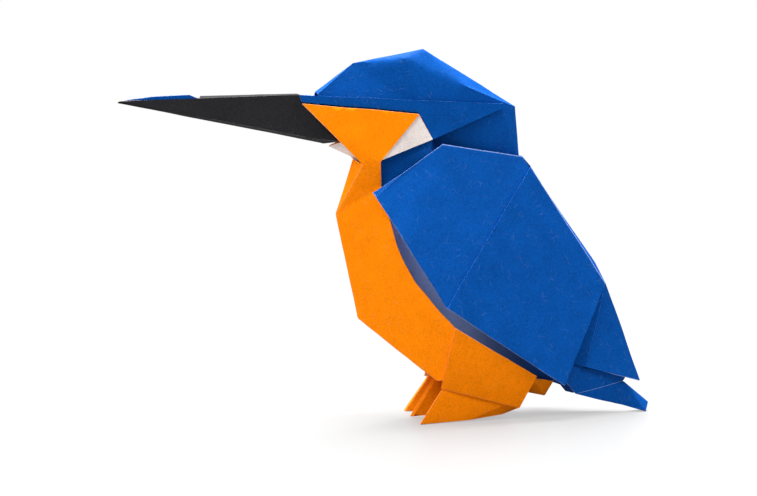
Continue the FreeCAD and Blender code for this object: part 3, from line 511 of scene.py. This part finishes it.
def paper_material(name, colour, fibre, mottling=0.42, fibres=0.38, tail_shade=None):
    """Thin handmade mulberry paper, dyed on one side: matt, mottled where the pulp lies thicker or
    thinner, with a few loose fibres that take the dye less, and a fine tooth. Nothing in it is glossy.
    The mottling is the part of its colour by which its darkest and lightest spots differ from it.
    Towards the tail, the paper takes on the colour given as tail_shade, as painted shade."""
    material = bpy.data.materials.new(name)
    tree = empty_tree(material)
    place = add_node(tree, "ShaderNodeTexCoord").outputs["Object"]

    # Clouds of pulp are about 7 mm wide. The tooth's bumps are 0.5 mm wide, with finer ones on them,
    # and mottle the paper more than twice as much as the clouds do.
    cloud = add_node(
        tree, "ShaderNodeTexNoise", {"Scale": 1 / (7 * MM), "Detail": 3.0, "Roughness": 0.6},
        {"Vector": place})
    tooth = add_node(
        tree, "ShaderNodeTexNoise", {"Scale": 1 / (0.5 * MM), "Detail": 3.0, "Roughness": 0.7},
        {"Vector": place})
    body = add_node(
        tree, "ShaderNodeMath", {"operation": "MULTIPLY_ADD", 1: 2.6},
        {0: tooth.outputs["Fac"], 2: cloud.outputs["Fac"]})
    depth = add_node(
        tree, "ShaderNodeMapRange",
        {"From Min": 0.8, "From Max": 2.8, "To Min": 1 - mottling, "To Max": 1 + mottling},
        {"Value": body.outputs["Value"]})
    dyed = add_node(
        tree, "ShaderNodeVectorMath", {"operation": "SCALE", 0: colour},
        {"Scale": depth.outputs["Result"]})
    # The reverse darkens towards the tail: painted shade where it lies under the wings.
    if tail_shade is not None:
        along = add_node(tree, "ShaderNodeSeparateXYZ", {}, {"Vector": place})
        tail_shade_factor = add_node(
            tree, "ShaderNodeMapRange",
            {"From Min": 8 * MM, "From Max": 44 * MM, "interpolation_type": "SMOOTHSTEP"},
            {"Value": along.outputs["X"]})
        tint = add_node(
            tree, "ShaderNodeMix", {"data_type": "RGBA", 6: (*colour, 1), 7: (*tail_shade, 1)},
            {0: tail_shade_factor.outputs["Result"]})
        tree.links.new(tint.outputs[2], dyed.inputs[0])

    strands = loose_fibres(tree, place)
    faint = add_node(
        tree, "ShaderNodeMath", {"operation": "MULTIPLY", 1: fibres, "use_clamp": True}, {0: strands})
    coloured = add_node(
        tree, "ShaderNodeMix", {"data_type": "RGBA", 7: (*fibre, 1)},
        {0: faint.outputs["Value"], 6: dyed.outputs["Vector"]})

    # The fibres stand out of the paper nearly as far as its tooth does.
    height = add_node(
        tree, "ShaderNodeMath", {"operation": "MULTIPLY_ADD", 1: 0.8},
        {0: strands, 2: tooth.outputs["Fac"]})
    bump = add_node(
        tree, "ShaderNodeBump", {"Strength": 0.5, "Distance": 0.07 * MM},
        {"Height": height.outputs["Value"]})
    shader = add_node(
        tree, "ShaderNodeBsdfPrincipled",
        {"Roughness": 0.6, "IOR": 1.45, "Specular IOR Level": 0.03},
        {"Base Color": coloured.outputs[2], "Normal": bump.outputs["Normal"]})
    add_node(tree, "ShaderNodeOutputMaterial", {}, {"Surface": shader.outputs["BSDF"]})
    return material


def seen_directly(tree):
    """1 for what the camera sees, also in a gloss or through glass, and 0 for light thrown on things."""
    path = add_node(tree, "ShaderNodeLightPath")
    sharp = add_node(
        tree, "ShaderNodeMath", {"operation": "MAXIMUM"},
        {0: path.outputs["Is Camera Ray"], 1: path.outputs["Is Glossy Ray"]})
    direct = add_node(
        tree, "ShaderNodeMath", {"operation": "MAXIMUM"},
        {0: sharp.outputs["Value"], 1: path.outputs["Is Transmission Ray"]})
    return direct.outputs["Value"]


def studio_paper(name, colour):
    """A seamless white studio floor, faintly polished. It looks fully lit, but for the object's shadow
    and a weak reflection close to it, and it throws little light back up."""
    material = bpy.data.materials.new(name)
    tree = empty_tree(material)

    # Its own glow and what its matt surface takes from the lamps together look white.
    glow = add_node(tree, "ShaderNodeEmission", {"Color": WHITE, "Strength": 0.48})
    matt = add_node(tree, "ShaderNodeBsdfDiffuse", {"Color": (0.125, 0.125, 0.125, 1)})
    near = add_node(tree, "ShaderNodeAddShader", {}, {0: glow.outputs[0], 1: matt.outputs[0]})
    polish = add_node(tree, "ShaderNodeBsdfGlossy", {"Color": WHITE, "Roughness": 0.25})
    shiny = add_node(
        tree, "ShaderNodeMixShader", {0: 0.06}, {1: near.outputs[0], 2: polish.outputs[0]})

    # Between 0.12 and 0.3 m from the middle, it turns plain white.
    place = add_node(tree, "ShaderNodeTexCoord").outputs["Object"]
    distance = add_node(tree, "ShaderNodeVectorMath", {"operation": "LENGTH"}, {0: place})
    away = add_node(
        tree, "ShaderNodeMapRange",
        {"From Min": 0.12, "From Max": 0.3, "interpolation_type": "SMOOTHSTEP"},
        {"Value": distance.outputs["Value"]})
    white = add_node(tree, "ShaderNodeEmission", {"Color": WHITE, "Strength": 1.0})
    seen = add_node(
        tree, "ShaderNodeMixShader", {},
        {0: away.outputs["Result"], 1: shiny.outputs[0], 2: white.outputs[0]})

    thrown = add_node(tree, "ShaderNodeBsdfDiffuse", {"Color": (*colour, 1)})
    both = add_node(
        tree, "ShaderNodeMixShader", {},
        {0: seen_directly(tree), 1: thrown.outputs[0], 2: seen.outputs[0]})
    add_node(tree, "ShaderNodeOutputMaterial", {}, {"Surface": both.outputs[0]})
    return material


# ------------------------------------------------------------------------------------------ stage


def make_floor(height, colour):
    """A floor that reaches 3 m each way."""
    bm = bmesh.new()
    bmesh.ops.create_grid(bm, x_segments=1, y_segments=1, size=3)
    mesh = bpy.data.meshes.new("floor")
    bm.to_mesh(mesh)
    bm.free()
    mesh.materials.append(studio_paper("studio_paper", colour))
    floor = bpy.data.objects.new("floor", mesh)
    floor.location.z = height
    bpy.context.collection.objects.link(floor)


def light_room(scene):
    """A white room, which lights the bird much less than it looks."""
    world = bpy.data.worlds.new("studio")
    scene.world = world
    tree = empty_tree(world)
    glow = add_node(tree, "ShaderNodeBackground", {"Color": WHITE, "Strength": 0.14})
    white = add_node(tree, "ShaderNodeBackground", {"Color": WHITE, "Strength": 1.0})
    both = add_node(
        tree, "ShaderNodeMixShader", {},
        {0: seen_directly(tree), 1: glow.outputs[0], 2: white.outputs[0]})
    add_node(tree, "ShaderNodeOutputWorld", {}, {"Surface": both.outputs[0]})


def aim(thing, place, target):
    """Puts a lamp or the camera somewhere and points it at its target."""
    thing.location = place
    thing.rotation_euler = (target - place).to_track_quat("-Z", "Y").to_euler()


def add_lamp(name, direction, distance, size, level, target):
    """A square softbox. At a level of 1, a surface that faces it shows its colour as written."""
    lamp = bpy.data.lights.new(name, "AREA")
    lamp.size = size
    lamp.energy = level * (math.pi * distance) ** 2
    thing = bpy.data.objects.new(name, lamp)
    bpy.context.collection.objects.link(thing)
    aim(thing, target + direction.normalized() * distance, target)


def add_camera(scene, stage, target):
    """A long lens, a little above the floor and a little in front of the bird's side."""
    camera = bpy.data.cameras.new("camera")
    camera.lens = stage.lens
    camera.sensor_width = 36
    camera.clip_start, camera.clip_end = 0.01, 20
    thing = bpy.data.objects.new("camera", camera)
    bpy.context.collection.objects.link(thing)
    level = math.cos(stage.elevation)
    back = Vector((
        math.sin(stage.azimuth) * level, -math.cos(stage.azimuth) * level, math.sin(stage.elevation)))
    aim(thing, target + back * stage.distance, target)
    scene.camera = thing


# -------------------------------------------------------------------------------------- operators


class KINGFISHER_OT_beak(bpy.types.Operator):
    """Fold the black sheet that makes the beak"""
    bl_idname = "kingfisher.beak"
    bl_label = "Beak"

    def execute(self, context):
        paper = context.scene.kingfisher_paper
        make_paper("beak_sheet", "black_paper", paper.black, paper.reverse)
        return {"FINISHED"}


class KINGFISHER_OT_blue(bpy.types.Operator):
    """Fold the blue sheet that makes head, wings, back and tail"""
    bl_idname = "kingfisher.blue"
    bl_label = "Head, Wings and Tail"

    def execute(self, context):
        paper = context.scene.kingfisher_paper
        # The reverse's pale blue tint is painted bounce light from the blue paper.
        make_paper("blue_sheet", "blue_paper", paper.blue, paper.bounce_tinted_reverse)
        return {"FINISHED"}


class KINGFISHER_OT_orange(bpy.types.Operator):
    """Fold the orange sheet that makes cheeks, breast, thighs and feet"""
    bl_idname = "kingfisher.orange"
    bl_label = "Cheeks, Breast and Feet"

    def execute(self, context):
        paper = context.scene.kingfisher_paper
        make_paper("orange_sheet", "orange_paper", paper.orange, paper.reverse)
        return {"FINISHED"}


class KINGFISHER_OT_stage(bpy.types.Operator):
    """Add the floor, the lamps and the camera"""
    bl_idname = "kingfisher.stage"
    bl_label = "Stage"

    def execute(self, context):
        scene = context.scene
        stage = scene.kingfisher_stage
        low, high = CAD_BOX
        centre = (low + high) / 2
        size = high - low
        # The camera looks at a point a little before and below the bird's middle.
        target = centre + Vector((-0.0208 * size.x, 0, -0.035 * size.z))
        make_floor(low.z, stage.floor)
        light_room(scene)
        for name, lamp in LAMPS.items():
            add_lamp(name, *lamp, centre)
        add_camera(scene, stage, target)
        scene.view_settings.view_transform = "Standard"
        return {"FINISHED"}


class KINGFISHER_PT_panel(bpy.types.Panel):
    """The kingfisher's pieces and its stage"""
    bl_label = "Kingfisher"
    bl_space_type = "VIEW_3D"
    bl_region_type = "UI"
    bl_category = "Kingfisher"

    def draw(self, context):
        for settings in (context.scene.kingfisher_paper, context.scene.kingfisher_stage):
            box = self.layout.box()
            for name in settings.__annotations__:
                box.prop(settings, name)
        for operator in OPERATORS:
            self.layout.operator(operator.bl_idname)


OPERATORS = (KINGFISHER_OT_beak, KINGFISHER_OT_blue, KINGFISHER_OT_orange, KINGFISHER_OT_stage)
CLASSES = (PaperSettings, StageSettings, *OPERATORS, KINGFISHER_PT_panel)


def register():
    for cls in CLASSES:
        bpy.utils.register_class(cls)
    bpy.types.Scene.kingfisher_paper = PointerProperty(type=PaperSettings)
    bpy.types.Scene.kingfisher_stage = PointerProperty(type=StageSettings)


def unregister():
    del bpy.types.Scene.kingfisher_stage
    del bpy.types.Scene.kingfisher_paper
    for cls in reversed(CLASSES):
        bpy.utils.unregister_class(cls)


def main():
    register()
    bpy.ops.kingfisher.beak()
    bpy.ops.kingfisher.blue()
    bpy.ops.kingfisher.orange()
    bpy.ops.kingfisher.stage()


if __name__ == "__main__":
    main()
